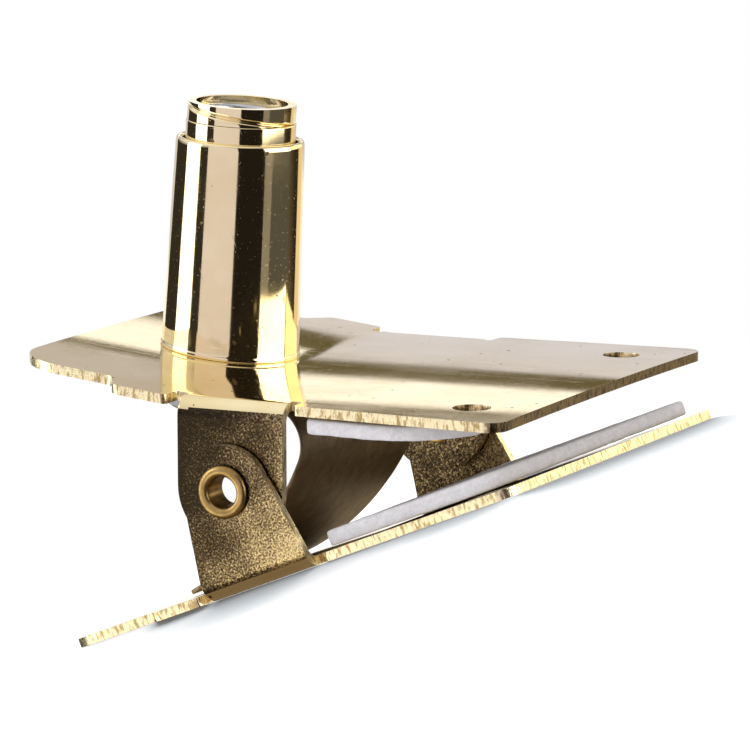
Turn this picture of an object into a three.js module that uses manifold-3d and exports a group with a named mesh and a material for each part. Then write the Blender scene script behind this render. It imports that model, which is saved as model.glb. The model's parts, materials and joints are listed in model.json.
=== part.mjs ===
// Spring clip with a post: two pressed brass jaws hinged on tubular rivets, closed by a bow
// spring, with felt grip pads and a tapered ferrule that carries the end of a flexible neck.
// Units are millimetres. +X points out of the jaw mouth, +Z up, and the origin lies on the
// underside of the lower jaw, straight below the hinge axis.
import * as THREE from 'three';
import { mergeVertices } from 'three/addons/utils/BufferGeometryUtils.js';
import Module from 'manifold-3d';

const wasm = await Module();
wasm.setup();

// Sheet metal and overall layout
const SHEET = 1.1;
const GAP = 0.3;
const PIVOT_HEIGHT = 11.1;
const JAW_ANGLE = 22;
const FRONT = 33.4;
const REAR = 29.5;
const FRONT_HALF_WIDTH = 28.8;
const MID_HALF_WIDTH = 27.3;
const SHOULDER_HALF_WIDTH = 27.6;
const HANDLE_HALF_WIDTH = 24;
const SHOULDER_REAR = 14.5;
const HANDLE_START = 16.5;
const FRONT_CORNER = 2.2;
const REAR_CORNER = 6;
const RELIEF_FLOOR = 24.6;
const RELIEF_WIDTH = 1.2;
const RELIEF_CLEARANCE = 0.2;
const CORNER = { notch: 0.4, relief: 0.6, handle: 1, shoulder: 1.4 };
const FIXING_HOLE = { x: 26.4, y: 20.5, radius: 2.15 };

// Ears and hinge
const BEND_RADIUS = 2.2;
const SHANK_DROP = 0.8;
const LOWER_EAR = { outer: 28.6, base: 6.9, shank: 5.5, tip: 5.2, pivot: PIVOT_HEIGHT };
const UPPER_EAR = { outer: 27.2, base: 6.5, shank: 6.5, tip: 6.5, pivot: 9.95 };
const RIVET = { bore: 1.75, barrel: 2.25, flange: 3, lip: 0.55, roll: 0.22, clearance: 0.15 };

// Grip pads
const PAD = { thickness: 2.1, inset: 0.4, rear: 9, rearCorner: 1 };
const LOWER_PAD = { front: 31.2, corner: 3 };
const UPPER_PAD = { front: 27.2, corner: 10 };

// Handle of the upper jaw, which is bent up, and the post on it
const HANDLE_RISE = 6.5;
const HANDLE_BEND = 6;
const SEAT_X = 14;
const POST_LEAN = 3.6;
const FERRULE = { foot: 8.05, top: 7.4, height: 24.6, wall: 0.9, mouth: 6.65, shoulder: 0.6, ease: 0.2 };
const COLLAR = { radius: 6.35, bore: 5.3, bottom: 14, top: 26.8 };
const WINDING = { radius: 6.3, bore: 5.3, top: 29 };
const CORE = { radius: 4.9, bore: 3.8, bottom: 22.4, inset: 0.6 };
const NIPPLE = { radius: 4.9, bore: 3.5, below: 7.2, top: 22 };
const LOCK_NUT = { acrossFlats: 14, thickness: 2.6 };
const LOCK_WASHER = { radius: 7.6, thickness: 0.7 };
const SEAT_HOLE = 5.25;

// Bow spring: a long gentle arc off the lower jaw, a tight bight, and a straight upper leg. Turns are
// the strip's headings in degrees above +X.
const SPRING = { halfWidth: 15.4, thickness: 0.5, gentle: 32.8, bight: 4.7, leg: 21 };
const SPRING_TURN = { first: 8, knee: 46 };

const ROUND = 48;
const SPRING_STEPS = 12;
const rad = THREE.MathUtils.degToRad;

// A closed geometry as a manifold solid
function solidOf(geometry) {
  const bare = geometry.clone();
  bare.deleteAttribute('normal');
  bare.deleteAttribute('uv');
  const merged = mergeVertices(bare, 1e-4);
  return new wasm.Manifold(new wasm.Mesh({
    numProp: 3,
    vertProperties: new Float32Array(merged.attributes.position.array),
    triVerts: new Uint32Array(merged.index.array),
  }));
}

function geometryOf(solid) {
  const mesh = solid.getMesh();
  const geometry = new THREE.BufferGeometry();
  geometry.setAttribute('position', new THREE.BufferAttribute(mesh.vertProperties, 3));
  geometry.setIndex(new THREE.BufferAttribute(mesh.triVerts, 1));
  geometry.computeVertexNormals();
  return geometry;
}

function extrude(shape, depth, segments = 8) {
  return new THREE.ExtrudeGeometry(shape, { depth, bevelEnabled: false, curveSegments: segments });
}

// An outline drawn in X and Z, extruded along Y from yLow to yHigh
function extrudeAcross(shape, yLow, yHigh, segments) {
  const geometry = extrude(shape, yHigh - yLow, segments);
  geometry.rotateX(Math.PI / 2);
  geometry.translate(0, yHigh, 0);
  return geometry;
}

// An outline drawn in Y and Z, extruded along X from xLow to xHigh
function extrudeForward(shape, xLow, xHigh, segments) {
  const geometry = extrude(shape, xHigh - xLow, segments);
  geometry.applyMatrix4(new THREE.Matrix4().makeBasis(
    new THREE.Vector3(0, 1, 0), new THREE.Vector3(0, 0, 1), new THREE.Vector3(1, 0, 0)));
  geometry.translate(xLow, 0, 0);
  return geometry;
}

function cylinder(radius, length, segments = ROUND) {
  const geometry = new THREE.CylinderGeometry(radius, radius, length, segments);
  geometry.rotateX(Math.PI / 2);
  return geometry;
}

// A ring or tube turned about Z, from a closed outline of [radius, height] pairs
function turned(outline, segments = ROUND) {
  const points = outline.map(([radius, height]) => new THREE.Vector2(radius, height));
  points.push(points[0].clone());
  const geometry = new THREE.LatheGeometry(points, segments);
  geometry.rotateX(Math.PI / 2);
  return geometry;
}

function tube(radius, bore, low, high) {
  return turned([[bore, low], [radius, low], [radius, high], [bore, high]]);
}

// Rounds the corner at b between a and c with the given radius, by an arc of `steps` chords
function roundedCorner(a, b, c, radius, steps = 6) {
  const corner = new THREE.Vector2(...b);
  const toA = new THREE.Vector2(...a).sub(corner).normalize();
  const toC = new THREE.Vector2(...c).sub(corner).normalize();
  const half = Math.acos(toA.dot(toC)) / 2;
  const reach = radius / Math.tan(half);
  const middle = toA.clone().add(toC).normalize();
  const centre = corner.clone().addScaledVector(middle, radius / Math.sin(half));
  const start = corner.clone().addScaledVector(toA, reach).sub(centre);
  const end = corner.clone().addScaledVector(toC, reach).sub(centre);
  const sweep = Math.atan2(start.x * end.y - start.y * end.x, start.dot(end));
  return Array.from({ length: steps + 1 }, (_, i) => {
    const angle = start.angle() + sweep * i / steps;
    return [centre.x + radius * Math.cos(angle), centre.y + radius * Math.sin(angle)];
  });
}

// A closed outline from corners [x, y, radius]
function outlineOf(corners) {
  const points = corners.flatMap((corner, i) => {
    const before = corners[(i + corners.length - 1) % corners.length];
    const after = corners[(i + 1) % corners.length];
    const [x, y, radius] = corner;
    return radius ? roundedCorner(before.slice(0, 2), [x, y], after.slice(0, 2), radius) : [[x, y]];
  });
  return new THREE.Shape(points.map(([x, y]) => new THREE.Vector2(x, y)));
}

// The blank of a jaw, without its ears: handle, shoulders, ear bases, relief slots and grip
function jawBlank(earBase) {
  const relief = earBase + RELIEF_CLEARANCE + RELIEF_WIDTH;
  const upperHalf = [
    [FRONT, FRONT_HALF_WIDTH, FRONT_CORNER],
    [relief, MID_HALF_WIDTH, CORNER.relief],
    [relief, RELIEF_FLOOR, CORNER.notch],
    [relief - RELIEF_WIDTH, RELIEF_FLOOR, 0],
    [-relief + RELIEF_WIDTH, RELIEF_FLOOR, 0],
    [-relief, RELIEF_FLOOR, CORNER.notch],
    [-relief, SHOULDER_HALF_WIDTH, CORNER.relief],
    [-SHOULDER_REAR, SHOULDER_HALF_WIDTH, CORNER.shoulder],
    [-HANDLE_START, HANDLE_HALF_WIDTH, CORNER.handle],
    [-REAR, HANDLE_HALF_WIDTH, REAR_CORNER],
  ];
  const lowerHalf = [...upperHalf].reverse().map(([x, y, radius]) => [x, -y, radius]);
  return solidOf(extrude(outlineOf([...upperHalf, ...lowerHalf]), SHEET));
}

// The ear's fold: a strip of sheet that turns up through a quarter circle
function foldStrip(ear, height) {
  const fold = ear.outer - BEND_RADIUS;
  const section = new THREE.Shape();
  section.moveTo(RELIEF_FLOOR - 1, 0);
  section.lineTo(fold, 0);
  section.absarc(fold, BEND_RADIUS, BEND_RADIUS, -Math.PI / 2, 0, false);
  section.lineTo(ear.outer, height);
  section.lineTo(ear.outer - SHEET, height);
  section.lineTo(ear.outer - SHEET, BEND_RADIUS);
  section.absarc(fold, BEND_RADIUS, BEND_RADIUS - SHEET, 0, -Math.PI / 2, true);
  section.lineTo(RELIEF_FLOOR - 1, SHEET);
  return solidOf(extrudeForward(section, -ear.base, ear.base, 6));
}

// The ear's side view: straight flanks that run into a round tip over the pivot
function earSilhouette(ear) {
  const shape = new THREE.Shape();
  shape.moveTo(-ear.base, -1);
  shape.lineTo(ear.base, -1);
  shape.lineTo(ear.base, BEND_RADIUS);
  shape.lineTo(ear.shank, ear.pivot - SHANK_DROP);
  shape.absarc(0, ear.pivot, ear.tip, 0, Math.PI, false);
  shape.lineTo(-ear.shank, ear.pivot - SHANK_DROP);
  shape.lineTo(-ear.base, BEND_RADIUS);
  return solidOf(extrudeAcross(shape, 0, ear.outer + 1, 20));
}

function pinHole(ear, radius) {
  const hole = cylinder(radius, 4 * SHEET);
  hole.rotateX(Math.PI / 2);
  hole.translate(0, ear.outer - SHEET / 2, ear.pivot);
  return solidOf(hole);
}

// A whole jaw lying on its outer face, ears up, with its hinge axis above the origin
function jawSolid(ear, holeRadius) {
  const oneEar = foldStrip(ear, ear.pivot + ear.tip + 1)
    .intersect(earSilhouette(ear))
    .subtract(pinHole(ear, holeRadius));
  const blank = jawBlank(ear.base);
  return [1, -1].reduce((jaw, side) => {
    const hole = cylinder(FIXING_HOLE.radius, 4 * SHEET, 32);
    hole.translate(FIXING_HOLE.x, side * FIXING_HOLE.y, 0);
    const sided = side > 0 ? oneEar : oneEar.mirror([0, 1, 0]);
    return jaw.add(sided).subtract(solidOf(hole));
  }, blank);
}

// The upper jaw is turned over, so that its ears hang, with the hinge axis as its origin
const overTurn = new THREE.Matrix4().makeRotationX(Math.PI)
  .premultiply(new THREE.Matrix4().makeTranslation(0, 0, UPPER_EAR.pivot));

// Lifts whatever is behind the bend line so that the handle rises towards its end
function bendHandle(geometry) {
  const position = geometry.attributes.position;
  for (let i = 0; i < position.count; i += 1) {
    const behind = Math.max(0, -HANDLE_BEND - position.getX(i));
    position.setZ(i, position.getZ(i) + behind * Math.tan(rad(HANDLE_RISE)));
  }
  geometry.computeVertexNormals();
  return geometry;
}

// Splits a flat solid on the bend line, so that the line itself carries vertices
function splitAtBend(solid) {
  const size = 200;
  const behind = new THREE.BoxGeometry(size, size, size);
  behind.translate(-HANDLE_BEND - size / 2, 0, 0);
  const cutter = solidOf(behind);
  return solid.subtract(cutter).add(solid.intersect(cutter));
}

function upperJaw() {
  const seat = cylinder(SEAT_HOLE, 6 * SHEET);
  seat.translate(-SEAT_X, 0, 0);
  const flat = jawSolid(UPPER_EAR, RIVET.barrel + RIVET.clearance).subtract(solidOf(seat));
  const geometry = geometryOf(splitAtBend(flat));
  geometry.applyMatrix4(overTurn);
  return bendHandle(geometry);
}

function lowerJaw() {
  return geometryOf(jawSolid(LOWER_EAR, RIVET.barrel + RIVET.clearance));
}

// A felt pad, lying on Z = 0, that reaches to front
function padGeometry({ front, corner }) {
  const widthAt = (x) => MID_HALF_WIDTH - PAD.inset
    + (FRONT_HALF_WIDTH - MID_HALF_WIDTH) * (x - PAD.rear) / (FRONT - PAD.rear);
  const shape = outlineOf([
    [front, widthAt(front), corner],
    [PAD.rear, widthAt(PAD.rear), PAD.rearCorner],
    [PAD.rear, -widthAt(PAD.rear), PAD.rearCorner],
    [front, -widthAt(front), corner],
  ]);
  return extrude(shape, PAD.thickness - GAP);
}

// A tubular rivet along Z: barrel with a rolled flange at both ends
function rivetGeometry(length) {
  const { bore, barrel, flange, lip, roll } = RIVET;
  const half = length / 2;
  return turned([
    [bore, -half + lip],
    [bore + roll, -half + roll],
    [barrel, -half],
    [flange - roll, -half + roll / 2],
    [flange, -half + lip],
    [barrel, -half + lip],
    [barrel, half - lip],
    [flange, half - lip],
    [flange - roll, half - roll / 2],
    [barrel, half],
    [bore + roll, half - roll],
    [bore, half - lip],
  ]);
}

// The ferrule's foot is cut to the slope of the handle that it stands on
function ferruleGeometry() {
  const { foot, top, height, wall, mouth, shoulder, ease } = FERRULE;
  const geometry = turned([
    [foot - wall, 0],
    [foot, 0],
    [top, height - shoulder],
    [top - ease, height - ease],
    [top - shoulder, height],
    [mouth, height],
  ]);
  const position = geometry.attributes.position;
  const skew = Math.tan(rad(HANDLE_RISE - POST_LEAN));
  for (let i = 0; i < position.count; i += 1) {
    if (position.getZ(i) < shoulder) {
      position.setZ(i, position.getZ(i) - position.getX(i) * skew);
    }
  }
  return geometry;
}

// The bow spring's centreline in X and Z, from the end on the lower jaw to that under the handle
function springLine() {
  const { gentle, bight, thickness, leg } = SPRING;
  const { first, knee } = SPRING_TURN;
  const handleTurn = 180 - JAW_ANGLE - HANDLE_RISE;
  const heading = (turn) => new THREE.Vector2(Math.cos(rad(turn)), Math.sin(rad(turn)));
  const arc = (from, radius, low, high, steps) => {
    const centre = from.clone().addScaledVector(heading(low + 90), radius);
    return Array.from({ length: steps }, (_, i) => {
      const turn = low + (high - low) * (i + 1) / steps;
      return { turn, point: centre.clone().addScaledVector(heading(turn - 90), radius) };
    });
  };
  const line = [{ turn: first, point: new THREE.Vector2(0, SHEET + GAP + thickness / 2) }];
  line.push(...arc(line[0].point, gentle, first, knee, SPRING_STEPS));
  line.push(...arc(line[line.length - 1].point, bight, knee, handleTurn, SPRING_STEPS));
  const last = line[line.length - 1].point;
  line.push({ turn: handleTurn, point: last.clone().addScaledVector(heading(handleTurn), leg) });

  const outward = heading(handleTurn - 90);
  const underBend = new THREE.Vector2(-HANDLE_BEND, UPPER_EAR.pivot - SHEET)
    .rotateAround(new THREE.Vector2(), rad(-JAW_ANGLE))
    .add(new THREE.Vector2(0, PIVOT_HEIGHT));
  const shift = (underBend.sub(last).dot(outward) - GAP - thickness / 2) / outward.x;
  line.forEach(({ point }) => point.add(new THREE.Vector2(shift, 0)));
  return line;
}

function springGeometry() {
  const { thickness, halfWidth } = SPRING;
  const side = (offset) => springLine().map(({ turn, point }) => new THREE.Vector2(
    point.x + offset * Math.sin(rad(turn)), point.y - offset * Math.cos(rad(turn))));
  const shape = new THREE.Shape([...side(thickness / 2), ...side(-thickness / 2).reverse()]);
  const strip = solidOf(extrudeAcross(shape, -halfWidth, halfWidth));
  const hole = cylinder(SEAT_HOLE, 12 * SHEET);
  hole.applyMatrix4(seatMatrix());
  return geometryOf(strip.subtract(solidOf(hole)));
}

// From the upper jaw's own frame to the whole part's
function upperJawMatrix() {
  return new THREE.Matrix4().makeTranslation(0, 0, PIVOT_HEIGHT)
    .multiply(new THREE.Matrix4().makeRotationY(rad(JAW_ANGLE)));
}

// Where the post's centre line meets the top of the handle, square to the handle
function seatMatrix() {
  const rise = (SEAT_X - HANDLE_BEND) * Math.tan(rad(HANDLE_RISE));
  return upperJawMatrix()
    .multiply(new THREE.Matrix4().makeTranslation(-SEAT_X, 0, UPPER_EAR.pivot + rise))
    .multiply(new THREE.Matrix4().makeRotationY(rad(HANDLE_RISE)));
}

const BRASS = { color: 0xc9a25a, roughness: 0.2, metalness: 1 };
const AGED_BRASS = { color: 0xa8803c, roughness: 0.35, metalness: 1 };
const SPRING_STEEL = { color: 0x6e5a3c, roughness: 0.45, metalness: 0.9 };
const STEEL = { color: 0xb9bcc0, roughness: 0.35, metalness: 1 };
const FELT = { color: 0xd8d5d8, roughness: 0.95, metalness: 0 };

function part(name, geometry, finish) {
  const mesh = new THREE.Mesh(geometry, new THREE.MeshStandardMaterial(finish));
  mesh.name = name;
  return mesh;
}

function rivet(name, side) {
  const inner = UPPER_EAR.outer - SHEET - GAP - RIVET.lip;
  const outer = LOWER_EAR.outer + GAP + RIVET.lip;
  const mesh = part(name, rivetGeometry(outer - inner), AGED_BRASS);
  mesh.rotation.x = Math.PI / 2;
  mesh.position.set(0, side * (outer + inner) / 2, PIVOT_HEIGHT);
  return mesh;
}

// Pieces on the post's own centre line, whose Z = 0 is the top of the handle
function postPieces() {
  const tilt = Math.sin(rad(HANDLE_RISE - POST_LEAN)) * LOCK_WASHER.radius;
  const washerTop = -SHEET - 3 * GAP - SPRING.thickness - tilt;
  const washerLow = washerTop - LOCK_WASHER.thickness;
  const hexRadius = LOCK_NUT.acrossFlats / 2 / Math.cos(Math.PI / 6);
  const nutBore = solidOf(cylinder(NIPPLE.radius + GAP, 4 * LOCK_NUT.thickness));
  const nut = geometryOf(solidOf(cylinder(hexRadius, LOCK_NUT.thickness, 6)).subtract(nutBore));
  nut.translate(0, 0, washerLow - GAP - LOCK_NUT.thickness / 2);
  return [
    part('post_ferrule', ferruleGeometry().translate(0, 0, GAP), BRASS),
    part('neck_collar', tube(COLLAR.radius, COLLAR.bore, COLLAR.bottom, COLLAR.top), BRASS),
    part('neck_winding', tube(WINDING.radius, WINDING.bore, COLLAR.top + GAP, WINDING.top), BRASS),
    part('neck_core', tube(CORE.radius, CORE.bore, CORE.bottom, WINDING.top - CORE.inset), STEEL),
    part('threaded_nipple', tube(NIPPLE.radius, NIPPLE.bore, -NIPPLE.below, NIPPLE.top), STEEL),
    part('lock_washer', tube(LOCK_WASHER.radius, NIPPLE.radius + GAP, washerLow, washerTop), STEEL),
    part('lock_nut', nut, STEEL),
  ];
}

const clip = new THREE.Group();

clip.add(part('lower_jaw', lowerJaw(), BRASS));
clip.add(rivet('near_rivet', -1));
clip.add(rivet('far_rivet', 1));

const lowerPad = part('lower_pad', padGeometry(LOWER_PAD), FELT);
lowerPad.position.z = SHEET + GAP;
clip.add(lowerPad);

const upper = new THREE.Group();
upper.applyMatrix4(upperJawMatrix());
upper.add(part('upper_jaw', upperJaw(), BRASS));
const upperPad = part('upper_pad', padGeometry(UPPER_PAD), FELT);
upperPad.position.z = UPPER_EAR.pivot - SHEET - PAD.thickness;
upper.add(upperPad);
clip.add(upper);

const post = new THREE.Group();
post.applyMatrix4(seatMatrix());
post.rotateY(rad(POST_LEAN - HANDLE_RISE));
postPieces().forEach((mesh) => post.add(mesh));
clip.add(post);

clip.add(part('bow_spring', springGeometry(), SPRING_STEEL));

export default clip;
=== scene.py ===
"""Looks for the spring clip: brass jaws, ferrule and neck, bronzed bow spring, felt pads.

Everything is in metres, in the CAD frame. Shapes are built in millimetres and scaled by MM.
"""

import json
import math

import bmesh
import bpy
from mathutils import Matrix, Vector, noise


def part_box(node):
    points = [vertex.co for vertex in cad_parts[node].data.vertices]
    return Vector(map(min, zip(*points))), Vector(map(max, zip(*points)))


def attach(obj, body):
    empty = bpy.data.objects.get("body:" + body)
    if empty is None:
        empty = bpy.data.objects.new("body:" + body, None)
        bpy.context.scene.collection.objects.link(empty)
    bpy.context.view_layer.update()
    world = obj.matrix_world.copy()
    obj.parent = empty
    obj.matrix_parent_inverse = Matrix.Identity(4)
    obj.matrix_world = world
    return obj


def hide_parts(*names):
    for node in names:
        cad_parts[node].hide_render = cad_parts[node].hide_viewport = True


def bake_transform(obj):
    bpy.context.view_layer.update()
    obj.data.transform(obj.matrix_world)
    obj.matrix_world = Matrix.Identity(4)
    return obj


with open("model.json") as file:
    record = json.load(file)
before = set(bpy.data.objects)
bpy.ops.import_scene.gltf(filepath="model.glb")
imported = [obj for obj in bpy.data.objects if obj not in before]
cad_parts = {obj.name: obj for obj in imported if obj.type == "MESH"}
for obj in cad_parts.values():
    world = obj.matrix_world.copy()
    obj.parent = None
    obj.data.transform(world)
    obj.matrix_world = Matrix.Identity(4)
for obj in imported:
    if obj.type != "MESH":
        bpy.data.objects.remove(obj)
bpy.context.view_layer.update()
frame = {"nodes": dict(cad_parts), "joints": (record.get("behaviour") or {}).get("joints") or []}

MM = 0.001
LOWER_BODY = "lower_jaw_body"
UPPER_BODY = "upper_jaw_body"

# The part's own dimensions, in millimetres and degrees
SHEET = 1.1
GAP = 0.3
JAW_ANGLE = 22.0
BEND_RADIUS = 2.2
PLATE_TOP = 9.95
HANDLE_RISE = 6.5
HANDLE_BEND = 6.0
SEAT_X = 14.0
POST_LEAN = 3.6
CROWN = 0.2
CROWN_HALF_WIDTH = 26.5
FERRULE = {"foot": 8.05, "top": 7.4, "height": 24.9, "mouth": 6.65}
COLLAR = {"radius": 6.35, "bore": 5.3, "bottom": 14.0, "top": 26.85}
WINDING = {"radius": 6.3, "bore": 5.3, "top": 29.0, "pitch": 4.3, "groove": 0.3}
CORE = {"radius": 4.35, "wire": 0.5, "bottom": 22.9, "top": 27.9, "pitch": 1.1}
NIPPLE = {"radius": 4.9, "bore": 3.5, "bottom": -7.2, "top": 22.0, "pitch": 1.0}
NUT = {"flats": 14.0, "bore": 5.2, "thickness": 2.6}
WASHER = {"radius": 7.6, "bore": 5.2, "thickness": 0.7, "teeth": 12}
RIVET = {"bore": 1.75, "barrel": 2.25, "flange": 3.0, "lip": 0.55}
SPRING = {"half_width": 15.4, "thickness": 0.5, "gentle": 32.8, "bight": 4.7, "leg": 21.0}
SPRING_HOLE = 5.25
SPRING_TURN = {"first": 8.0, "knee": 46.0}

# Small detail that only the visual meshes have, in millimetres
EDGE_BREAK = 0.14
PAD_EDGE = 0.32
PAD_GRID = 0.3
PAD_LUMPS = ((0.55, 0.05), (2.1, 0.03))
PAD_SHRINK = 0.03
FERRULE_ROUND = 0.22
COLLAR_ROUND = 0.16
FOOT_BAND = 1.5
CROWN_UNDER_FOOT = CROWN * 0.93
GROOVE_WIDTH = 0.2
WINDING_INSET = 0.05
WINDING_SWELL = 0.03
WINDING_START = 0.01
THREAD_TOP = 1.0
THREAD_LEAD = 0.6
CLEARANCE = 0.02
NUT_EASE = 0.3
TOOTH_DEPTH = 0.9
TOOTH_TWIST = 0.12
STRIP_ROUND = 0.7

# Where a jaw is cut into more faces, and how its faces are told apart
CUT_SPACING = 1.5
BEND_SPACING = 0.75
EAR_STARTS = BEND_RADIUS * 0.55
FLAT_NORMAL = 0.72
FOLD_INNER_Y = 25.2
FOLD_HALF_LENGTH = 7.0
FRONT_STARTS_X = 10

pivot = Vector(frame["joints"][0]["pos_m"])
UPPER = Matrix.Translation(pivot) @ Matrix.Rotation(math.radians(JAW_ANGLE), 4, "Y")
handle_lift = (SEAT_X - HANDLE_BEND) * math.tan(math.radians(HANDLE_RISE))
post_foot = UPPER @ Matrix.Translation(Vector((-SEAT_X, 0, PLATE_TOP + handle_lift)) * MM)
POST = post_foot @ Matrix.Rotation(math.radians(POST_LEAN), 4, "Y")
SEAT = post_foot @ Matrix.Rotation(math.radians(HANDLE_RISE), 4, "Y")


# ---------------------------------------------------------------- materials


def add(tree, kind, inputs=None, **settings):
    """A node with its settings, and its inputs linked to sockets or set to values."""
    made = tree.nodes.new(kind)
    for key, value in settings.items():
        setattr(made, key, value)
    for key, value in (inputs or {}).items():
        if isinstance(value, bpy.types.NodeSocket):
            tree.links.new(value, made.inputs[key])
        else:
            made.inputs[key].default_value = value
    return made


def blank_material(name):
    """A new material: (material, its tree, its shader, the object's own coordinates)."""
    made = bpy.data.materials.new(name)
    made.use_nodes = True
    tree = made.node_tree
    shader = tree.nodes["Principled BSDF"]
    coordinates = tree.nodes.new("ShaderNodeTexCoord").outputs["Object"]
    return made, tree, shader, coordinates


def stretched(tree, coordinates, scale, turn=(0, 0, 0)):
    """The coordinates scaled per axis and turned."""
    made = add(tree, "ShaderNodeMapping", {"Vector": coordinates})
    made.inputs["Scale"].default_value = scale
    made.inputs["Rotation"].default_value = turn
    return made.outputs["Vector"]


def noise_of(tree, vector, scale, detail=3.0, roughness=0.55):
    inputs = {"Vector": vector, "Scale": scale, "Detail": detail, "Roughness": roughness}
    return add(tree, "ShaderNodeTexNoise", inputs).outputs["Fac"]


def ramp(tree, factor, *stops):
    """A colour ramp from (position, colour) stops."""
    made = add(tree, "ShaderNodeValToRGB", {"Fac": factor})
    elements = made.color_ramp.elements
    while len(elements) < len(stops):
        elements.new(0.5)
    for element, (position, colour) in zip(elements, stops):
        element.position = position
        element.color = (*colour, 1)
    return made.outputs["Color"]


def grey(value):
    return (value, value, value)


def levels(tree, factor, *stops):
    """A grey ramp from (position, value) stops."""
    return ramp(tree, factor, *((position, grey(value)) for position, value in stops))


def mixed(tree, factor, first, second, kind="MIX"):
    """Blend of two colours, each a socket or a value."""
    made = add(tree, "ShaderNodeMix", data_type="RGBA", blend_type=kind)
    for socket, value in ((0, factor), (6, first), (7, second)):
        if isinstance(value, bpy.types.NodeSocket):
            tree.links.new(value, made.inputs[socket])
        else:
            made.inputs[socket].default_value = value if socket == 0 else (*value, 1)
    return made.outputs[2]


def math_of(tree, operation, first, second, third=0.5):
    inputs = {0: first, 1: second, 2: third}
    return add(tree, "ShaderNodeMath", inputs, operation=operation).outputs["Value"]


def coordinate(tree, vector, axis):
    """One coordinate of a vector."""
    return add(tree, "ShaderNodeSeparateXYZ", {"Vector": vector}).outputs[axis]


def bump(tree, height, depth_mm, below=None):
    inputs = {"Height": height, "Strength": 1.0, "Distance": depth_mm * MM}
    if below is not None:
        inputs["Normal"] = below
    return add(tree, "ShaderNodeBump", inputs).outputs["Normal"]


def finish_shader(tree, shader, colour, roughness, normal, metallic):
    tree.links.new(colour, shader.inputs["Base Color"])
    tree.links.new(roughness, shader.inputs["Roughness"])
    tree.links.new(normal, shader.inputs["Normal"])
    shader.inputs["Metallic"].default_value = metallic


def polished_brass(name, light, dark, smooth, rough, peel_mm, bow_mm=0.0):
    """Buffed brass: orange peel, scratches, smudges and specks, and bowed across Y by bow_mm."""
    made, tree, shader, own = blank_material(name)
    smudge = noise_of(tree, own, 95.0, 4.0)
    peel = noise_of(tree, own, 3000.0, 2.0)
    hair_run = stretched(tree, own, (45.0, 2600.0, 45.0), (0.2, 0.1, 0.5))
    hair = levels(tree, noise_of(tree, hair_run, 1.0, 2.0), (0.66, 0), (0.7, 1))
    cross_run = stretched(tree, own, (2300.0, 60.0, 60.0), (0.5, 0.3, -0.4))
    cross = levels(tree, noise_of(tree, cross_run, 1.0, 2.0), (0.68, 0), (0.71, 1))
    speck = levels(tree, noise_of(tree, own, 820.0, 1.0), (0.755, 0), (0.775, 1))
    dust = levels(tree, noise_of(tree, own, 4300.0, 1.0), (0.7, 0), (0.76, 1))
    tone = ramp(tree, smudge, (0.35, dark), (0.62, light))
    colour = mixed(tree, speck, tone, (0.2, 0.13, 0.06))
    wear = math_of(tree, "MAXIMUM", hair, cross)
    soft = ramp(tree, smudge, (0.35, grey(rough)), (0.6, grey(smooth)))
    dusty = mixed(tree, dust, soft, grey(0.3))
    roughness = mixed(tree, speck, dusty, grey(0.5))
    share = math_of(tree, "MULTIPLY", coordinate(tree, own, "Y"), 1 / (CROWN_HALF_WIDTH * MM))
    squared = math_of(tree, "MULTIPLY", share, share)
    bow = bump(tree, math_of(tree, "MULTIPLY", squared, -1.0), bow_mm)
    normal = bump(tree, wear, 0.0012, bump(tree, peel, peel_mm, bow))
    finish_shader(tree, shader, colour, roughness, normal, 1.0)
    return made


def grained_brass(name):
    """Ear faces: dark orange-peel sheet with gold grain, and a painted highlight that makes it more
    gold low down and to the front.
    """
    made, tree, shader, own = blank_material(name)
    grain = noise_of(tree, own, 4300.0, 3.0, 0.65)
    coarse = noise_of(tree, own, 2300.0, 2.0)
    blotch = noise_of(tree, own, 210.0, 3.0)
    # Painted highlight: the grain turns more gold towards the front and low down on the ear.
    painted_highlight_forward = math_of(tree, "MULTIPLY_ADD", coordinate(tree, own, "X"), 14.0, 0.09)
    share = math_of(tree, "MULTIPLY_ADD", coordinate(tree, own, "Z"), -12.0, painted_highlight_forward)
    blotches_and_painted_highlight = math_of(tree, "MULTIPLY_ADD", blotch, 0.34, share)
    lit = math_of(tree, "ADD", grain, blotches_and_painted_highlight)
    stops = ((0.56, (0.035, 0.026, 0.015)), (0.7, (0.17, 0.12, 0.06)), (0.89, (0.86, 0.67, 0.34)))
    colour = ramp(tree, lit, *stops)
    roughness = levels(tree, coarse, (0.35, 0.2), (0.65, 0.32))
    normal = bump(tree, grain, 0.02, bump(tree, coarse, 0.03))
    finish_shader(tree, shader, colour, roughness, normal, 1.0)
    return made


def sheared_brass(name, tilt, low, high):
    """Cut edges of sheet tilted about Y: ridges across the thickness, from colour low to high."""
    made, tree, shader, own = blank_material(name)
    level = stretched(tree, own, (1.0, 1.0, 1.0), (0, -math.radians(tilt), 0))
    run = stretched(tree, level, (1.0, 1.0, 0.3))
    ridge = noise_of(tree, run, 2300.0, 3.0, 0.6)
    fine = noise_of(tree, run, 5200.0, 2.0)
    tear = noise_of(tree, own, 600.0, 3.0)
    bright = ramp(tree, ridge, (0.38, low), (0.5, high))
    worn = levels(tree, tear, (0.6, 0), (0.75, 0.6))
    colour = mixed(tree, worn, bright, low)
    roughness = levels(tree, fine, (0.3, 0.22), (0.7, 0.42))
    normal = bump(tree, fine, 0.015, bump(tree, ridge, 0.06))
    finish_shader(tree, shader, colour, roughness, normal, 1.0)
    return made


def aged_brass(name):
    """Rivets: duller turned brass with faint clouds of dirt."""
    made, tree, shader, own = blank_material(name)
    cloud = noise_of(tree, own, 420.0, 4.0)
    grit = noise_of(tree, own, 3200.0, 2.0)
    colour = ramp(tree, cloud, (0.3, (0.27, 0.165, 0.055)), (0.65, (0.6, 0.42, 0.16)))
    roughness = levels(tree, cloud, (0.3, 0.42), (0.7, 0.27))
    finish_shader(tree, shader, colour, roughness, bump(tree, grit, 0.006), 1.0)
    return made


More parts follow.
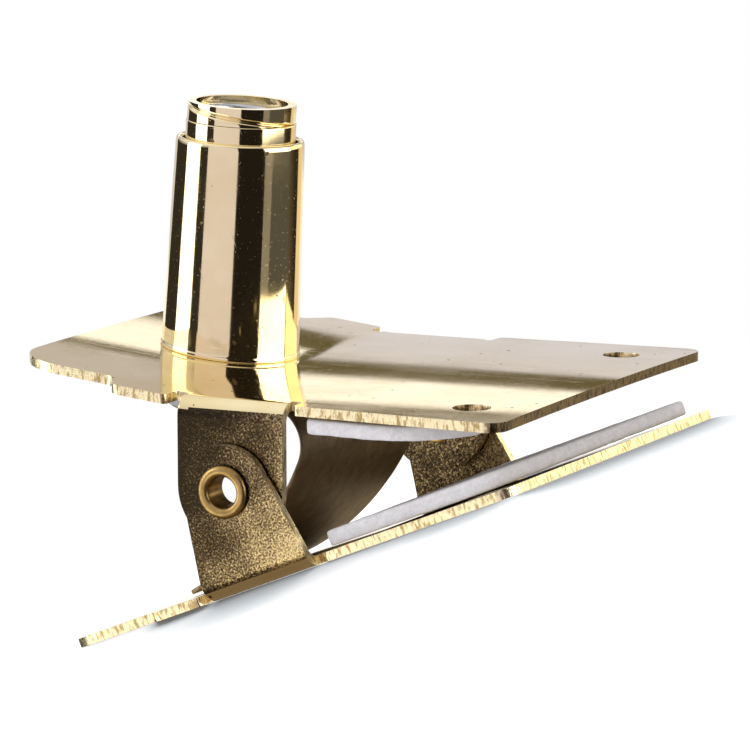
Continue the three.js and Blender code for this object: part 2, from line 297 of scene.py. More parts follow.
def bronzed_strip(name):
    """Spring strip: mottled brown oxide, faint rolling marks across it, and a painted shadow and
    reflection of the upper jaw that darken its top.
    """
    made, tree, shader, own = blank_material(name)
    streak = noise_of(tree, stretched(tree, own, (900.0, 70.0, 900.0)), 1.0, 4.0, 0.6)
    mottle = noise_of(tree, own, 620.0, 4.0, 0.65)
    stain = noise_of(tree, own, 130.0, 4.0, 0.6)
    pit = noise_of(tree, own, 1500.0, 2.0)
    base = ramp(tree, mottle, (0.3, (0.17, 0.123, 0.075)), (0.7, (0.36, 0.27, 0.165)))
    colour = mixed(tree, levels(tree, stain, (0.4, 0.0), (0.7, 0.55)), base, (0.13, 0.095, 0.06))
    colour = mixed(tree, levels(tree, streak, (0.5, 0.0), (0.7, 0.4)), colour, (0.12, 0.09, 0.06))
    colour = mixed(tree, levels(tree, pit, (0.66, 0), (0.72, 0.8)), colour, (0.06, 0.045, 0.03))
    # Painted shadow and reflection of the upper jaw's underside: the colour is darkened above about
    # 14 mm.
    high = math_of(tree, "MULTIPLY", coordinate(tree, own, "Z"), 20.0)
    shade = ramp(tree, high, (0.27, grey(1.0)), (0.31, (0.45, 0.45, 0.48)))
    colour = mixed(tree, 1.0, colour, shade, "MULTIPLY")
    roughness = levels(tree, stain, (0.3, 0.5), (0.7, 0.4))
    normal = bump(tree, streak, 0.008, bump(tree, pit, 0.006))
    finish_shader(tree, shader, colour, roughness, normal, 0.75)
    return made


def zinc_steel(name):
    """Hidden hardware: zinc plate with cloudy spangle."""
    made, tree, shader, own = blank_material(name)
    cloud = noise_of(tree, own, 500.0, 4.0)
    grit = noise_of(tree, own, 4000.0, 2.0)
    colour = ramp(tree, cloud, (0.3, (0.42, 0.43, 0.45)), (0.7, (0.68, 0.69, 0.7)))
    roughness = levels(tree, cloud, (0.3, 0.4), (0.7, 0.25))
    finish_shader(tree, shader, colour, roughness, bump(tree, grit, 0.004), 1.0)
    return made


def felt(name):
    """Pressed grey felt: short matted fibres, lighter and darker tufts, stray dark hairs."""
    made, tree, shader, own = blank_material(name)
    fibre_one = noise_of(tree, stretched(tree, own, (900.0, 5200.0, 2500.0), (0, 0, 0.6)), 1.0, 3.0)
    fibre_two = noise_of(tree, stretched(tree, own, (5200.0, 900.0, 2500.0), (0, 0, 0.3)), 1.0, 3.0)
    tuft = noise_of(tree, own, 520.0, 4.0)
    fibres = math_of(tree, "ADD", fibre_one, fibre_two)
    base = ramp(tree, tuft, (0.3, (0.61, 0.585, 0.61)), (0.7, (0.7, 0.675, 0.7)))
    shade = levels(tree, math_of(tree, "MULTIPLY", fibres, 0.5), (0.38, 0.84), (0.62, 1.0))
    colour = mixed(tree, 1.0, base, shade, "MULTIPLY")
    roughness = levels(tree, tuft, (0.3, 0.92), (0.7, 1.0))
    normal = bump(tree, fibres, 0.03, bump(tree, tuft, 0.05))
    finish_shader(tree, shader, colour, roughness, normal, 0.0)
    shader.inputs["Sheen Weight"].default_value = 0.25
    shader.inputs["Sheen Roughness"].default_value = 0.6
    return made


GOLD = (0.93, 0.8, 0.5)
GOLD_SHADE = (0.85, 0.7, 0.4)
EDGE_SHADE = (0.5, 0.37, 0.17)
EDGE_GOLD = (1.0, 0.88, 0.58)
# Painted shade: the upper jaw's front cut edge gets a much darker copy of the cut edge colours, for
# the shade it is seen in.
FRONT_PAINTED_SHADE = (0.07, 0.05, 0.03)
FRONT_GOLD_IN_PAINTED_SHADE = (0.24, 0.17, 0.09)
jaw_face = polished_brass("jaw_face_brass", GOLD, GOLD_SHADE, 0.045, 0.085, 0.0022, 0.9)
turned_face = polished_brass("turned_brass", GOLD, GOLD_SHADE, 0.045, 0.11, 0.0006)
ear_face = grained_brass("ear_brass")
lower_cut_edge = sheared_brass("lower_cut_edge_brass", 0.0, EDGE_SHADE, EDGE_GOLD)
upper_cut_edge = sheared_brass("upper_cut_edge_brass", JAW_ANGLE, EDGE_SHADE, EDGE_GOLD)
painted_shade_front_edge = sheared_brass("painted_shade_front_edge_brass", JAW_ANGLE, FRONT_PAINTED_SHADE, FRONT_GOLD_IN_PAINTED_SHADE)
rivet_face = aged_brass("rivet_brass")
strip_face = bronzed_strip("spring_strip")
hardware_face = zinc_steel("zinc_steel")
pad_face = felt("grip_felt")


# ------------------------------------------------------------ mesh builders


def mesh_object(name, vertices, faces, place=Matrix.Identity(4), smooth_angle=32.0):
    """An object from points in millimetres, standing at place."""
    mesh = bpy.data.meshes.new(name)
    mesh.from_pydata([Vector(v) * MM for v in vertices], [], faces)
    shape = bmesh.new()
    shape.from_mesh(mesh)
    bmesh.ops.recalc_face_normals(shape, faces=shape.faces)
    shape.to_mesh(mesh)
    shape.free()
    return placed(name, mesh, place, smooth_angle)


def placed(name, mesh, place, smooth_angle=32.0):
    """An object of that mesh, moved to place, which is smooth but for its sharp corners."""
    mesh.transform(place)
    for polygon in mesh.polygons:
        polygon.use_smooth = True
    mesh.set_sharp_from_angle(angle=math.radians(smooth_angle))
    made = bpy.data.objects.new(name, mesh)
    bpy.context.scene.collection.objects.link(made)
    return made


def joined_rings(count, sides, closed=False):
    """Faces from each ring of points to the next, and from the last to the first if closed."""
    faces = []
    for i in range(count if closed else count - 1):
        j = (i + 1) % count
        for k in range(sides):
            n = (k + 1) % sides
            faces.append((i * sides + k, i * sides + n, j * sides + n, j * sides + k))
    return faces


def end_caps(count, sides):
    """The first ring of points and the last, as faces."""
    return [tuple(range(sides)), tuple(range((count - 1) * sides, count * sides))]


def ringed(name, rows, segments, place):
    """A closed surface of rings: rows[i](angle) gives (radius, height) at that angle."""
    vertices = []
    for row in rows:
        for k in range(segments):
            angle = 2 * math.pi * k / segments
            radius, height = row(angle)
            vertices.append((radius * math.cos(angle), radius * math.sin(angle), height))
    return mesh_object(name, vertices, joined_rings(len(rows), segments, closed=True), place)


def lathe(name, outline, place, segments=144, skew=None):
    """A ring turned from a closed outline of (radius, height) pairs."""

    def row_of(radius, height):
        return lambda angle: (radius, skew(radius * math.cos(angle), height) if skew else height)

    return ringed(name, [row_of(*pair) for pair in outline], segments, place)


def rounded(outline, radius, steps=4):
    """The closed outline with each corner cut by a small curve."""
    made = []
    count = len(outline)
    for i, point in enumerate(outline):
        here = Vector(point)
        before = Vector(outline[i - 1]) - here
        after = Vector(outline[(i + 1) % count]) - here
        reach = min(radius, before.length * 0.45, after.length * 0.45)
        start = here + before.normalized() * reach
        end = here + after.normalized() * reach
        for k in range(steps + 1):
            t = k / steps
            made.append(tuple(start * (1 - t) ** 2 + here * 2 * t * (1 - t) + end * t * t))
    return made


def dress(piece, body, slot, *materials, replaces=()):
    """Materials, body and the nodes that the piece stands for; slot is not used."""
    for material in materials:
        piece.data.materials.append(material)
    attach(piece, body)
    if replaces:
        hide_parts(*replaces)
    return piece


def own_copy(node, place):
    """A clean bmesh of a CAD node in the frame of place, in millimetres."""
    mesh = frame["nodes"][node].data.copy()
    mesh.transform(Matrix.Scale(1 / MM, 4) @ place.inverted())
    shape = bmesh.new()
    shape.from_mesh(mesh)
    bpy.data.meshes.remove(mesh)
    bmesh.ops.remove_doubles(shape, verts=shape.verts, dist=0.002)
    bmesh.ops.dissolve_limit(
        shape, angle_limit=math.radians(0.8), verts=shape.verts, edges=shape.edges
    )
    return shape


def cut_across(shape, axis, at):
    """Cuts the mesh's faces along the plane where that coordinate has that value."""
    point = Vector((0, 0, 0))
    normal = Vector((0, 0, 0))
    point[axis] = at
    normal[axis] = 1
    geometry = shape.verts[:] + shape.edges[:] + shape.faces[:]
    bmesh.ops.bisect_plane(shape, geom=geometry, dist=0.0005, plane_co=point, plane_no=normal)


def bevel_corners(shape, width, steps, over=30.0):
    corners = [
        edge
        for edge in shape.edges
        if len(edge.link_faces) == 2 and edge.calc_face_angle(0) > math.radians(over)
    ]
    bmesh.ops.bevel(
        shape, geom=corners, offset=width, segments=steps, profile=0.5,
        affect="EDGES", clamp_overlap=True,
    )


def crown_at(y):
    """How far a jaw's middle stands above its edges."""
    return CROWN * max(0.0, 1 - (y / CROWN_HALF_WIDTH) ** 2)


def jaw_piece(name, node, place, plate_height, up, crowned):
    """A jaw with broken edges, and a material for its faces, ears, cut edges and front edge."""
    slope = math.tan(math.radians(HANDLE_RISE))
    shape = own_copy(node, place)
    bevel_corners(shape, EDGE_BREAK, 2)
    if crowned:
        for k in range(-17, 18):
            cut_across(shape, 1, k * CUT_SPACING)
        for k in range(-2, 3):
            cut_across(shape, 0, -HANDLE_BEND + BEND_SPACING * k)
        for vertex in shape.verts:
            vertex.co.z += crown_at(vertex.co.y)
            near_bend = max(0.0, 2 * BEND_SPACING - abs(vertex.co.x + HANDLE_BEND))
            vertex.co.z += slope * near_bend**2 / (8 * BEND_SPACING)
    shape.normal_update()
    for face in shape.faces:
        middle = face.calc_center_median()
        rise = slope * max(0.0, -HANDLE_BEND - middle.x)
        depth = up * (plate_height + (rise if crowned else 0.0) - middle.z)
        flat = abs(face.normal.z) > FLAT_NORMAL
        on_ear = depth > EAR_STARTS
        by_fold = abs(middle.y) > FOLD_INNER_Y and abs(middle.x) < FOLD_HALF_LENGTH
        folding = by_fold and abs(face.normal.x) < 0.4
        if on_ear:
            face.material_index = 1 if abs(face.normal.y) > 0.8 else 2
        else:
            face.material_index = 0 if flat or folding else 2
        # The front edge takes the cut edge brass with painted shade.
        if crowned and face.normal.x > 0.5 and not on_ear and middle.x > FRONT_STARTS_X:
            face.material_index = 3
    mesh = bpy.data.meshes.new(name)
    shape.to_mesh(mesh)
    shape.free()
    mesh.transform(Matrix.Scale(MM, 4))
    piece = placed(name, mesh, place)
    weighted = piece.modifiers.new("face_weighted", "WEIGHTED_NORMAL")
    weighted.keep_sharp = True
    return piece


def baked(piece):
    """The piece's mesh with its modifiers applied."""
    bpy.context.view_layer.update()
    graph = bpy.context.evaluated_depsgraph_get()
    mesh = bpy.data.meshes.new_from_object(piece.evaluated_get(graph))
    piece.modifiers.clear()
    piece.data = mesh
    return piece


# --------------------------------------------------------------------- jaws

lower_jaw = jaw_piece("lower_jaw_sheet", "lower_jaw", Matrix.Identity(4), 0.0, -1, False)
dress(
    lower_jaw, LOWER_BODY, "polished_brass",
    jaw_face, ear_face, lower_cut_edge, replaces=["lower_jaw"],
)
upper_jaw = jaw_piece("upper_jaw_sheet", "upper_jaw", UPPER, PLATE_TOP, 1, True)
dress(
    upper_jaw, UPPER_BODY, "polished_brass",
    jaw_face, ear_face, upper_cut_edge, painted_shade_front_edge, replaces=["upper_jaw"],
)


# --------------------------------------------------------------------- pads


def pad_piece(name, node, place, body, crowned):
    """A felt pad with rounded, slightly uneven edges."""
    shape = own_copy(node, place)
    bevel_corners(shape, PAD_EDGE, 3)
    mesh = bpy.data.meshes.new(name)
    shape.to_mesh(mesh)
    shape.free()
    piece = placed(name, mesh, Matrix.Identity(4))
    remesh = piece.modifiers.new("even_grid", "REMESH")
    remesh.mode = "VOXEL"
    remesh.voxel_size = PAD_GRID
    baked(piece)
    normals = [vertex.normal.copy() for vertex in piece.data.vertices]
    for vertex, normal in zip(piece.data.vertices, normals):
        lump = sum(noise.noise(vertex.co * rate) * size for rate, size in PAD_LUMPS)
        vertex.co += normal * (lump - PAD_SHRINK)
        vertex.co.z += crown_at(vertex.co.y) if crowned else 0.0
    piece.data.transform(place @ Matrix.Scale(MM, 4))
    for polygon in piece.data.polygons:
        polygon.use_smooth = True
    dress(piece, body, "grip_felt", pad_face, replaces=[node])
    return piece


pad_piece("lower_felt", "lower_pad", Matrix.Identity(4), LOWER_BODY, False)
pad_piece("upper_felt", "upper_pad", UPPER, UPPER_BODY, True)


# ------------------------------------------------------------------- rivets


def rivet_outline(half):
    """One tubular rivet's section: a rolled lip at each end of its barrel."""
    bore, barrel, flange, lip = (RIVET[key] for key in ("bore", "barrel", "flange", "lip"))
    middle = (bore + flange) / 2
    reach = (flange - bore) / 2
    turns = [math.pi * k / 14 for k in range(15)]
    arc = [(middle - reach * math.cos(t), -half + lip * (1 - math.sin(t))) for t in turns]
    end = [(bore, -half + 3 * lip), *arc, (barrel, -half + lip), (barrel, -half + 2 * lip)]
    return end + [(radius, -height) for radius, height in reversed(end)]


for node in ("near_rivet", "far_rivet"):
    low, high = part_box(node)
    centre = (low + high) / 2
    half = (high.y - low.y) / 2 / MM
    place = Matrix.Translation(centre) @ Matrix.Rotation(math.pi / 2, 4, "X")
    rivet = lathe(f"{node}_tube", rivet_outline(half), place, 96)
    dress(rivet, LOWER_BODY, "aged_brass", rivet_face, replaces=[node])


# --------------------------------------------------------------- post parts


def foot_on_handle(x, height):
    """The ferrule's foot follows the handle's slope and crown."""
    if height > FOOT_BAND:
        return height
    slope = math.tan(math.radians(HANDLE_RISE - POST_LEAN))
    return height - x * slope + CROWN_UNDER_FOOT


def ferrule_outline():
    """The ferrule's section: a foot with a small rim, a taper, and a lip at its mouth."""
    foot, top, height, mouth = (FERRULE[key] for key in ("foot", "top", "height", "mouth"))
    corners = [
        (foot - 0.9, 0.0),
        (foot - 0.05, 0.0),
        (foot + 0.04, 0.16),
        (foot + 0.04, 0.42),
        (foot - 0.06, 0.62),
        (foot - 0.09, 1.6),
        (top + 0.02, height - 0.5),
        (top - 0.08, height - 0.14),
        (top - 0.26, height),
        (mouth + 0.2, height),
        (mouth, height - 0.2),
        (mouth, height - 1.6),
        (top - 1.0, height - 2.2),
    ]
    return rounded(corners, FERRULE_ROUND)


ferrule = lathe("post_ferrule_shell", ferrule_outline(), POST, 192, foot_on_handle)
dress(ferrule, UPPER_BODY, "polished_brass", turned_face, replaces=["post_ferrule"])

collar_outline = rounded(
    [
        (COLLAR["bore"], COLLAR["bottom"]),
        (COLLAR["radius"], COLLAR["bottom"]),
        (COLLAR["radius"], COLLAR["top"]),
        (COLLAR["bore"], COLLAR["top"]),
    ],
    COLLAR_ROUND,
)
collar = lathe("neck_collar_band", collar_outline, POST, 192)
dress(collar, UPPER_BODY, "polished_brass", turned_face, replaces=["neck_collar"])


def winding_row(height):
    """One ring of the neck's outer winding, whose groove runs left-handed round it."""

    def at(angle):
        rise = (height - COLLAR["top"]) / WINDING["pitch"]
        phase = (rise + angle / (2 * math.pi) + WINDING_START) % 1.0
        off = min(phase, 1 - phase) * WINDING["pitch"]
        dip = math.exp(-((off / GROOVE_WIDTH) ** 2))
        swell = WINDING_SWELL * math.cos(2 * math.pi * phase)
        return WINDING["radius"] - WINDING_INSET - swell - WINDING["groove"] * dip, height

    return at


low_z = COLLAR["top"] + 0.04
winding_steps = 44
winding_rows = [lambda angle: (WINDING["bore"], low_z)]
for k in range(winding_steps + 1):
    winding_rows.append(winding_row(low_z + (WINDING["top"] - low_z) * k / winding_steps))
winding_rows.append(lambda angle: (WINDING["bore"], WINDING["top"]))
winding = ringed("neck_winding_strip", winding_rows, 192, POST)
dress(winding, UPPER_BODY, "polished_brass", turned_face, replaces=["neck_winding"])


def coil_piece(name, radius, wire, bottom, top, pitch, place):
    """A round wire wound into a coil."""
    sides, per_turn = 10, 40
    count = int((top - bottom) / pitch * per_turn)
    vertices = []
    for i in range(count + 1):
        angle = 2 * math.pi * i / per_turn
        height = bottom + pitch * i / per_turn
        for k in range(sides):
            around = 2 * math.pi * k / sides
            r = radius + wire * math.cos(around)
            high = height + wire * math.sin(around)
            vertices.append((r * math.cos(angle), r * math.sin(angle), high))
    faces = end_caps(count + 1, sides) + joined_rings(count + 1, sides)
    return mesh_object(name, vertices, faces, place, 60.0)


core = coil_piece("neck_core_coil", **CORE, place=POST)
dress(core, UPPER_BODY, "plain_steel", hardware_face, replaces=["neck_core"])


def thread_row(height):
    """One ring of the nipple's thread."""

    def at(angle):
        phase = (height / NIPPLE["pitch"] - angle / (2 * math.pi)) % 1.0
        depth = 0.5 * NIPPLE["pitch"] * abs(2 * phase - 1)
        fade = min(1.0, max(0.0, (height - NIPPLE["bottom"]) / THREAD_LEAD))
        return NIPPLE["radius"] - CLEARANCE - depth * fade - 0.35 * (1 - fade), height

    return at


thread_rise = THREAD_TOP - NIPPLE["bottom"]
thread_steps = 82
nipple_rows = [lambda angle: (NIPPLE["bore"], NIPPLE["bottom"])]
for k in range(thread_steps + 1):
    nipple_rows.append(thread_row(NIPPLE["bottom"] + thread_rise * k / thread_steps))
nipple_rows.append(lambda angle: (NIPPLE["radius"] - 0.3, NIPPLE["top"]))
nipple_rows.append(lambda angle: (NIPPLE["bore"], NIPPLE["top"]))
nipple = ringed("threaded_nipple_tube", nipple_rows, 72, POST)
dress(nipple, UPPER_BODY, "plain_steel", hardware_face, replaces=["threaded_nipple"])


def post_height(node):
    """Lowest and highest point of a node along the post, in millimetres."""
    inverse = POST.inverted()
    heights = [(inverse @ v.co).z / MM for v in frame["nodes"][node].data.vertices]
    return min(heights), max(heights)


nut_low, nut_high = post_height("lock_nut")


def nut_radius(angle):
    """Distance from the nut's middle to its flats and corners."""
    sixth = math.pi / 3
    return NUT["flats"] / 2 / math.cos((angle + sixth / 2) % sixth - sixth / 2)


def nut_row(inset, face):
    """A ring on the nut: its chamfered rim, or where the chamfer meets a flat."""

    def at(angle):
        corner = nut_radius(angle)
        chamfer = 0.25 + (corner - NUT["flats"] / 2) * 0.6
        if inset:
            return NUT["flats"] / 2 - 0.35, nut_low if face < 0 else nut_high
        return corner - CLEARANCE, nut_low + chamfer if face < 0 else nut_high - chamfer

    return at


nut_rows = [
    lambda angle: (NUT["bore"], nut_low + NUT_EASE),
    lambda angle: (NUT["bore"] + NUT_EASE, nut_low),
    nut_row(True, -1),
    nut_row(False, -1),
    nut_row(False, 1),
    nut_row(True, 1),
    lambda angle: (NUT["bore"] + NUT_EASE, nut_high),
    lambda angle: (NUT["bore"], nut_high - NUT_EASE),
]
nut = ringed("lock_nut_hex", nut_rows, 120, POST)
dress(nut, UPPER_BODY, "plain_steel", hardware_face, replaces=["lock_nut"])

washer_low, washer_high = post_height("lock_washer")


def washer_row(outer, height):
    """A ring on the toothed washer, whose teeth are twisted out of its plane."""

    def at(angle):
        wave = math.sin(WASHER["teeth"] * angle)
        if not outer:
            return WASHER["bore"], height
        edge = WASHER["radius"] - (TOOTH_DEPTH if wave < -0.1 else 0.0)
        lower = height < 0.5 * (washer_low + washer_high)
        return edge, height + (TOOTH_TWIST if lower else -TOOTH_TWIST) * wave

    return at


washer_rows = [
    washer_row(False, washer_low + TOOTH_TWIST),
    washer_row(True, washer_low + TOOTH_TWIST),
    washer_row(True, washer_high - TOOTH_TWIST),
    washer_row(False, washer_high - TOOTH_TWIST),
]
washer = ringed("lock_washer_toothed", washer_rows, 144, POST)
dress(washer, UPPER_BODY, "plain_steel", hardware_face, replaces=["lock_washer"])


# --------------------------------------------------------------- bow spring


LEG_STEPS = 14


def heading(turn):
    """The direction in X and Z at that turn, in degrees."""
    return Vector((math.cos(math.radians(turn)), math.sin(math.radians(turn))))


def arc_points(start, radius, low, high, steps):
    """(turn, point) pairs along an arc that leaves start on heading low."""
    centre = start + heading(low + 90) * radius
    for k in range(1, steps + 1):
        turn = low + (high - low) * k / steps
        yield turn, centre + heading(turn - 90) * radius


def spring_line():
    """The strip's centreline in X and Z, from the lower jaw to under the handle."""
    handle_turn = 180 - JAW_ANGLE - HANDLE_RISE
    first = Vector((0, SHEET + GAP + SPRING["thickness"] / 2))
    line = [(SPRING_TURN["first"], first)]
    line += arc_points(first, SPRING["gentle"], SPRING_TURN["first"], SPRING_TURN["knee"], 26)
    line += arc_points(line[-1][1], SPRING["bight"], SPRING_TURN["knee"], handle_turn, 30)
    last = line[-1][1]
    leg = heading(handle_turn) * SPRING["leg"]
    line += [(handle_turn, last + leg * k / LEG_STEPS) for k in range(1, LEG_STEPS + 1)]
    outward = heading(handle_turn - 90)
    tilt = math.radians(JAW_ANGLE)
    bend_x, bend_z = -HANDLE_BEND, PLATE_TOP - SHEET
    under_bend = Vector((
        bend_x * math.cos(tilt) + bend_z * math.sin(tilt),
        -bend_x * math.sin(tilt) + bend_z * math.cos(tilt) + pivot.z / MM,
    ))
    shift = ((under_bend - last).dot(outward) - GAP - SPRING["thickness"] / 2) / outward.x
    return [(turn, point + Vector((shift, 0))) for turn, point in line]


def spring_piece():
    """The strip, with rounded long edges and corners and the hole that the nipple goes through."""
    line = spring_line()
    half = SPRING["thickness"] / 2
    eased = half * STRIP_ROUND
    across = [
        (-1.0, 0.0), (-0.997, eased), (-0.99, half), (0.99, half), (0.997, eased),
        (1.0, 0.0), (0.997, -eased), (0.99, -half), (-0.99, -half), (-0.997, -eased),
    ]
    vertices = []
    for i, (turn, point) in enumerate(line):
        from_end = min(i, len(line) - 1 - i)
        width = SPRING["half_width"] - (0.5 if from_end == 0 else 0.0)
        side = heading(turn + 90)
        for share, offset in across:
            spot = point + side * offset
            vertices.append((spot.x, share * width, spot.y))
    faces = end_caps(len(line), len(across)) + joined_rings(len(line), len(across))
    piece = mesh_object("bow_spring_strip", vertices, faces)
    cylinder = [(0.001, -12), (SPRING_HOLE, -12), (SPRING_HOLE, 12), (0.001, 12)]
    cutter = lathe("spring_hole", cylinder, SEAT, 64)
    hole = piece.modifiers.new("hole", "BOOLEAN")
    hole.operation = "DIFFERENCE"
    hole.solver = "EXACT"
    hole.object = cutter
    baked(piece)
    bpy.data.objects.remove(cutter)
    piece.data.materials.clear()
    piece.data.materials.append(strip_face)
    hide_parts("bow_spring")
    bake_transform(piece)
    return piece


spring_piece()


# ------------------------------------------------------------ stage and lights

CAMERA_TURN = 25.98
CAMERA_LIFT = 9.12
CAMERA_ROLL = -0.2
CAMERA_RIGHT = 4.147
CAMERA_UP = 8.771
CAMERA_DISTANCE = 632.2
CAMERA_LENS = 264
to_camera = Vector((math.sin(math.radians(CAMERA_TURN)), -math.cos(math.radians(CAMERA_TURN)), 0))
to_right = Vector((math.cos(math.radians(CAMERA_TURN)), math.sin(math.radians(CAMERA_TURN)), 0))


def empty_material(name):
    """A new material with no nodes: (material, its tree)."""
    made = bpy.data.materials.new(name)
    made.use_nodes = True
    made.node_tree.nodes.clear()
    return made, made.node_tree


def glow_with(tree, colour, strength):
    """Makes the material only give light, of that colour."""
    glow = add(tree, "ShaderNodeEmission", {"Color": colour, "Strength": strength})
    out = add(tree, "ShaderNodeOutputMaterial")
    tree.links.new(glow.outputs["Emission"], out.inputs["Surface"])


def only_in_reflections(thing):
    """Only glossy rays meet the thing."""
    thing.visible_camera = False
    thing.visible_diffuse = False
    thing.visible_transmission = False
    thing.visible_volume_scatter = False
    thing.visible_shadow = False


def card(name, turns, lifts, colour, strength, distance=420.0):
    """A curved reflector round the clip, from one turn and lift to another, in degrees.

    Turn 0 faces the camera, 90 is on its right, and lift is above the upper jaw's plane.
    """
    vertices = []
    steps = 16
    for lift in lifts:
        rise = Vector((0, 0, distance * math.tan(math.radians(lift))))
        for k in range(steps + 1):
            turn = math.radians(turns[0] + (turns[1] - turns[0]) * k / steps)
            flat = to_camera * math.cos(turn) + to_right * math.sin(turn)
            vertices.append(flat * distance + rise)
    width = steps + 1
    faces = [(k, k + 1, width + k + 1, width + k) for k in range(steps)]
    made = mesh_object(name, vertices, faces, UPPER)
    material, tree = empty_material(name)
    glow_with(tree, (*colour, 1), strength)
    made.data.materials.append(material)
    only_in_reflections(made)


WARM_WHITE = (1.0, 0.97, 0.94)
LILAC = (0.83, 0.77, 0.88)
HAZE = (0.72, 0.685, 0.72)
OLIVE = (0.13, 0.105, 0.045)
BLACK = (0.016, 0.013, 0.011)

# Round the post: stripes that its polished side shows from left to right
card("left_strip", (-106, -74), (-38, 34), WARM_WHITE, 2.4)
card("front_panel", (-58, -3), (-30, 34), LILAC, 1.0)
card("front_flag", (-3, 47), (-38, 34), BLACK, 1.0, 400.0)
card("right_dim", (47, 62), (-38, -1), (0.28, 0.26, 0.24), 1.0)
card("right_dark", (62, 104), (-38, -1), (0.1, 0.097, 0.088), 1.0)
card("right_strip", (47, 104), (-1, 34), WARM_WHITE, 3.4)
card("back_right", (132, 172), (-38, 2), (0.95, 0.76, 0.46), 1.0)

# Low and to the sides: what the cut edges and the ears show
card("low_left", (-74, -34), (-38, -9), (1.0, 0.95, 0.84), 1.5, 400.0)
card("low_right", (106, 131), (-38, -9.2), (1.0, 0.9, 0.66), 1.4, 400.0)
card("high_right", (106, 149), (3, 34), (1.0, 0.9, 0.66), 1.7)

# Behind: what the upper jaw's bowed face shows from its far edge to its near edge
card("back_foot", (150, 214), (-16, -3), WARM_WHITE, 1.1)
card("back_low", (150, 214), (-3, 9.5), HAZE, 1.0)
card("back_line", (150, 214), (9.5, 13.2), OLIVE, 1.0)
card("back_strip", (150, 214), (13.2, 19.1), WARM_WHITE, 1.25)
card("back_thin", (150, 214), (19.1, 20.3), OLIVE, 1.0)
card("back_high", (150, 214), (20.3, 34), HAZE, 0.8)


DOME_RADIUS = 1.6


def dome():
    """The rest of the studio as metal sees it: bright overhead, dim round the sides, warm below."""
    shape = bmesh.new()
    bmesh.ops.create_uvsphere(shape, u_segments=48, v_segments=24, radius=DOME_RADIUS)
    mesh = bpy.data.meshes.new("studio_dome")
    shape.to_mesh(mesh)
    shape.free()
    made = placed("studio_dome", mesh, UPPER)
    material, tree = empty_material("studio_dome")
    own = add(tree, "ShaderNodeTexCoord").outputs["Object"]
    share = math_of(tree, "MULTIPLY_ADD", coordinate(tree, own, "Z"), 0.5 / DOME_RADIUS, 0.5)
    colour = ramp(
        tree, share,
        (0.0, (0.2, 0.15, 0.1)), (0.22, (0.24, 0.18, 0.12)), (0.34, (0.03, 0.025, 0.02)),
        (0.7, (0.035, 0.03, 0.025)), (0.8, (0.8, 0.78, 0.8)), (1.0, (1.0, 0.99, 0.97)),
    )
    glow_with(tree, colour, 1.0)
    made.data.materials.append(material)
    only_in_reflections(made)


dome()


FLOOR_CORNERS = ((-29.3, -24.0), (33.2, -28.6), (33.2, 28.6), (-29.3, 24.0))
FLOOR_GAP = 0.03
FLOOR_FALL = 0.22
FALL_REACH = 60.0
FLOOR_HALF = 6000.0
FLOOR_GLOW = 0.22
SHADOW_REACH = 0.013


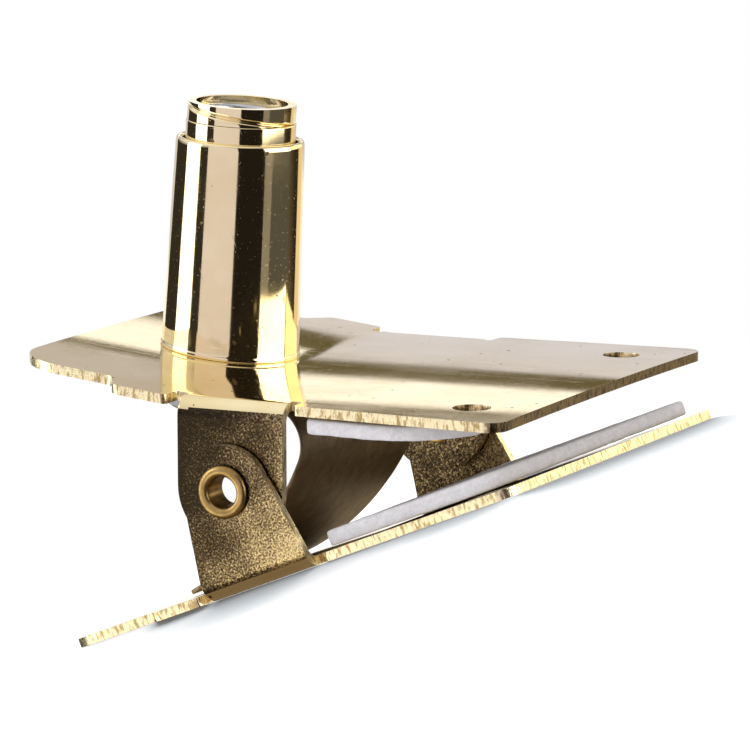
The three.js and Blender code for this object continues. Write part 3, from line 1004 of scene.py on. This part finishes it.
def floor():
    """White paper that falls away all round the lower jaw, under which it is left open, with a
    painted contact shadow near the clip.
    """
    steps = 12
    rings = [0.0, *(FALL_REACH * (k / steps) ** 2 for k in range(1, steps + 1)), FLOOR_HALF]
    vertices = []
    for out in rings:
        height = -FLOOR_GAP - FLOOR_FALL * min(out, FALL_REACH)
        for corner, (x, y) in enumerate(FLOOR_CORNERS):
            for k in range(steps + 1):
                turn = math.radians(180 + 90 * corner + 90 / steps * k)
                vertices.append((x + out * math.cos(turn), y + out * math.sin(turn), height))
    faces = joined_rings(len(rings), len(FLOOR_CORNERS) * (steps + 1))
    made = mesh_object("studio_floor", vertices, faces)
    material, tree, shader, own = blank_material("studio_floor")
    paper = noise_of(tree, own, 400.0, 2.0)
    white = levels(tree, paper, (0.3, 0.9), (0.7, 0.92))
    # Painted contact shadow: occlusion within SHADOW_REACH darkens the paper's colour and glow to
    # blue-grey near the clip.
    near = add(tree, "ShaderNodeAmbientOcclusion", {"Distance": SHADOW_REACH}, samples=12)
    shade = ramp(
        tree, near.outputs["AO"],
        (0.62, (0.38, 0.41, 0.44)), (0.86, (0.7, 0.735, 0.765)), (0.985, grey(1.0)),
    )
    colour = mixed(tree, 1.0, white, shade, "MULTIPLY")
    tree.links.new(colour, shader.inputs["Base Color"])
    tree.links.new(shade, shader.inputs["Emission Color"])
    shader.inputs["Roughness"].default_value = 1.0
    shader.inputs["Specular IOR Level"].default_value = 0.0
    shader.inputs["Emission Strength"].default_value = FLOOR_GLOW
    made.data.materials.append(material)
    made.visible_glossy = False


floor()


def soft_sun(name, turn, lift, strength, spread):
    """Even soft light from one side: turn is from +X towards +Y, in degrees."""
    data = bpy.data.lights.new(name, "SUN")
    data.energy = strength
    data.angle = math.radians(spread)
    made = bpy.data.objects.new(name, data)
    bpy.context.scene.collection.objects.link(made)
    flat = math.cos(math.radians(lift))
    away = Vector((
        flat * math.cos(math.radians(turn)),
        flat * math.sin(math.radians(turn)),
        math.sin(math.radians(lift)),
    ))
    made.matrix_world = away.to_track_quat("Z", "Y").to_matrix().to_4x4()
    made.visible_glossy = False


soft_sun("back_sun", 100, 50, 0.5, 60)
soft_sun("key_sun", 290, 48, 0.5, 60)

world = bpy.data.worlds.new("studio_world")
world.use_nodes = True
world.node_tree.nodes["Background"].inputs["Color"].default_value = (1, 1, 1, 1)
world.node_tree.nodes["Background"].inputs["Strength"].default_value = 1.0
bpy.context.scene.world = world
bpy.context.scene.view_settings.view_transform = "Standard"


# -------------------------------------------------------------------- camera


def make_camera():
    """A long lens, nearly level with the lower jaw, rolled so that the post stands upright."""
    turn, lift, roll = (math.radians(v) for v in (CAMERA_TURN, CAMERA_LIFT, CAMERA_ROLL))
    look = Vector((
        -math.sin(turn) * math.cos(lift), math.cos(turn) * math.cos(lift), -math.sin(lift),
    ))
    right = to_right.copy()
    above = right.cross(look)
    right, above = (
        right * math.cos(roll) + above * math.sin(roll),
        above * math.cos(roll) - right * math.sin(roll),
    )
    centre = (right * CAMERA_RIGHT + above * CAMERA_UP - look * CAMERA_DISTANCE) * MM
    own = Matrix((
        (right.x, above.x, -look.x, centre.x),
        (right.y, above.y, -look.y, centre.y),
        (right.z, above.z, -look.z, centre.z),
        (0, 0, 0, 1),
    ))
    data = bpy.data.cameras.new("camera")
    data.lens = CAMERA_LENS
    data.sensor_width = 36
    data.clip_start = 0.02
    made = bpy.data.objects.new("camera", data)
    bpy.context.scene.collection.objects.link(made)
    made.matrix_world = UPPER @ own
    bpy.context.scene.camera = made


make_camera()
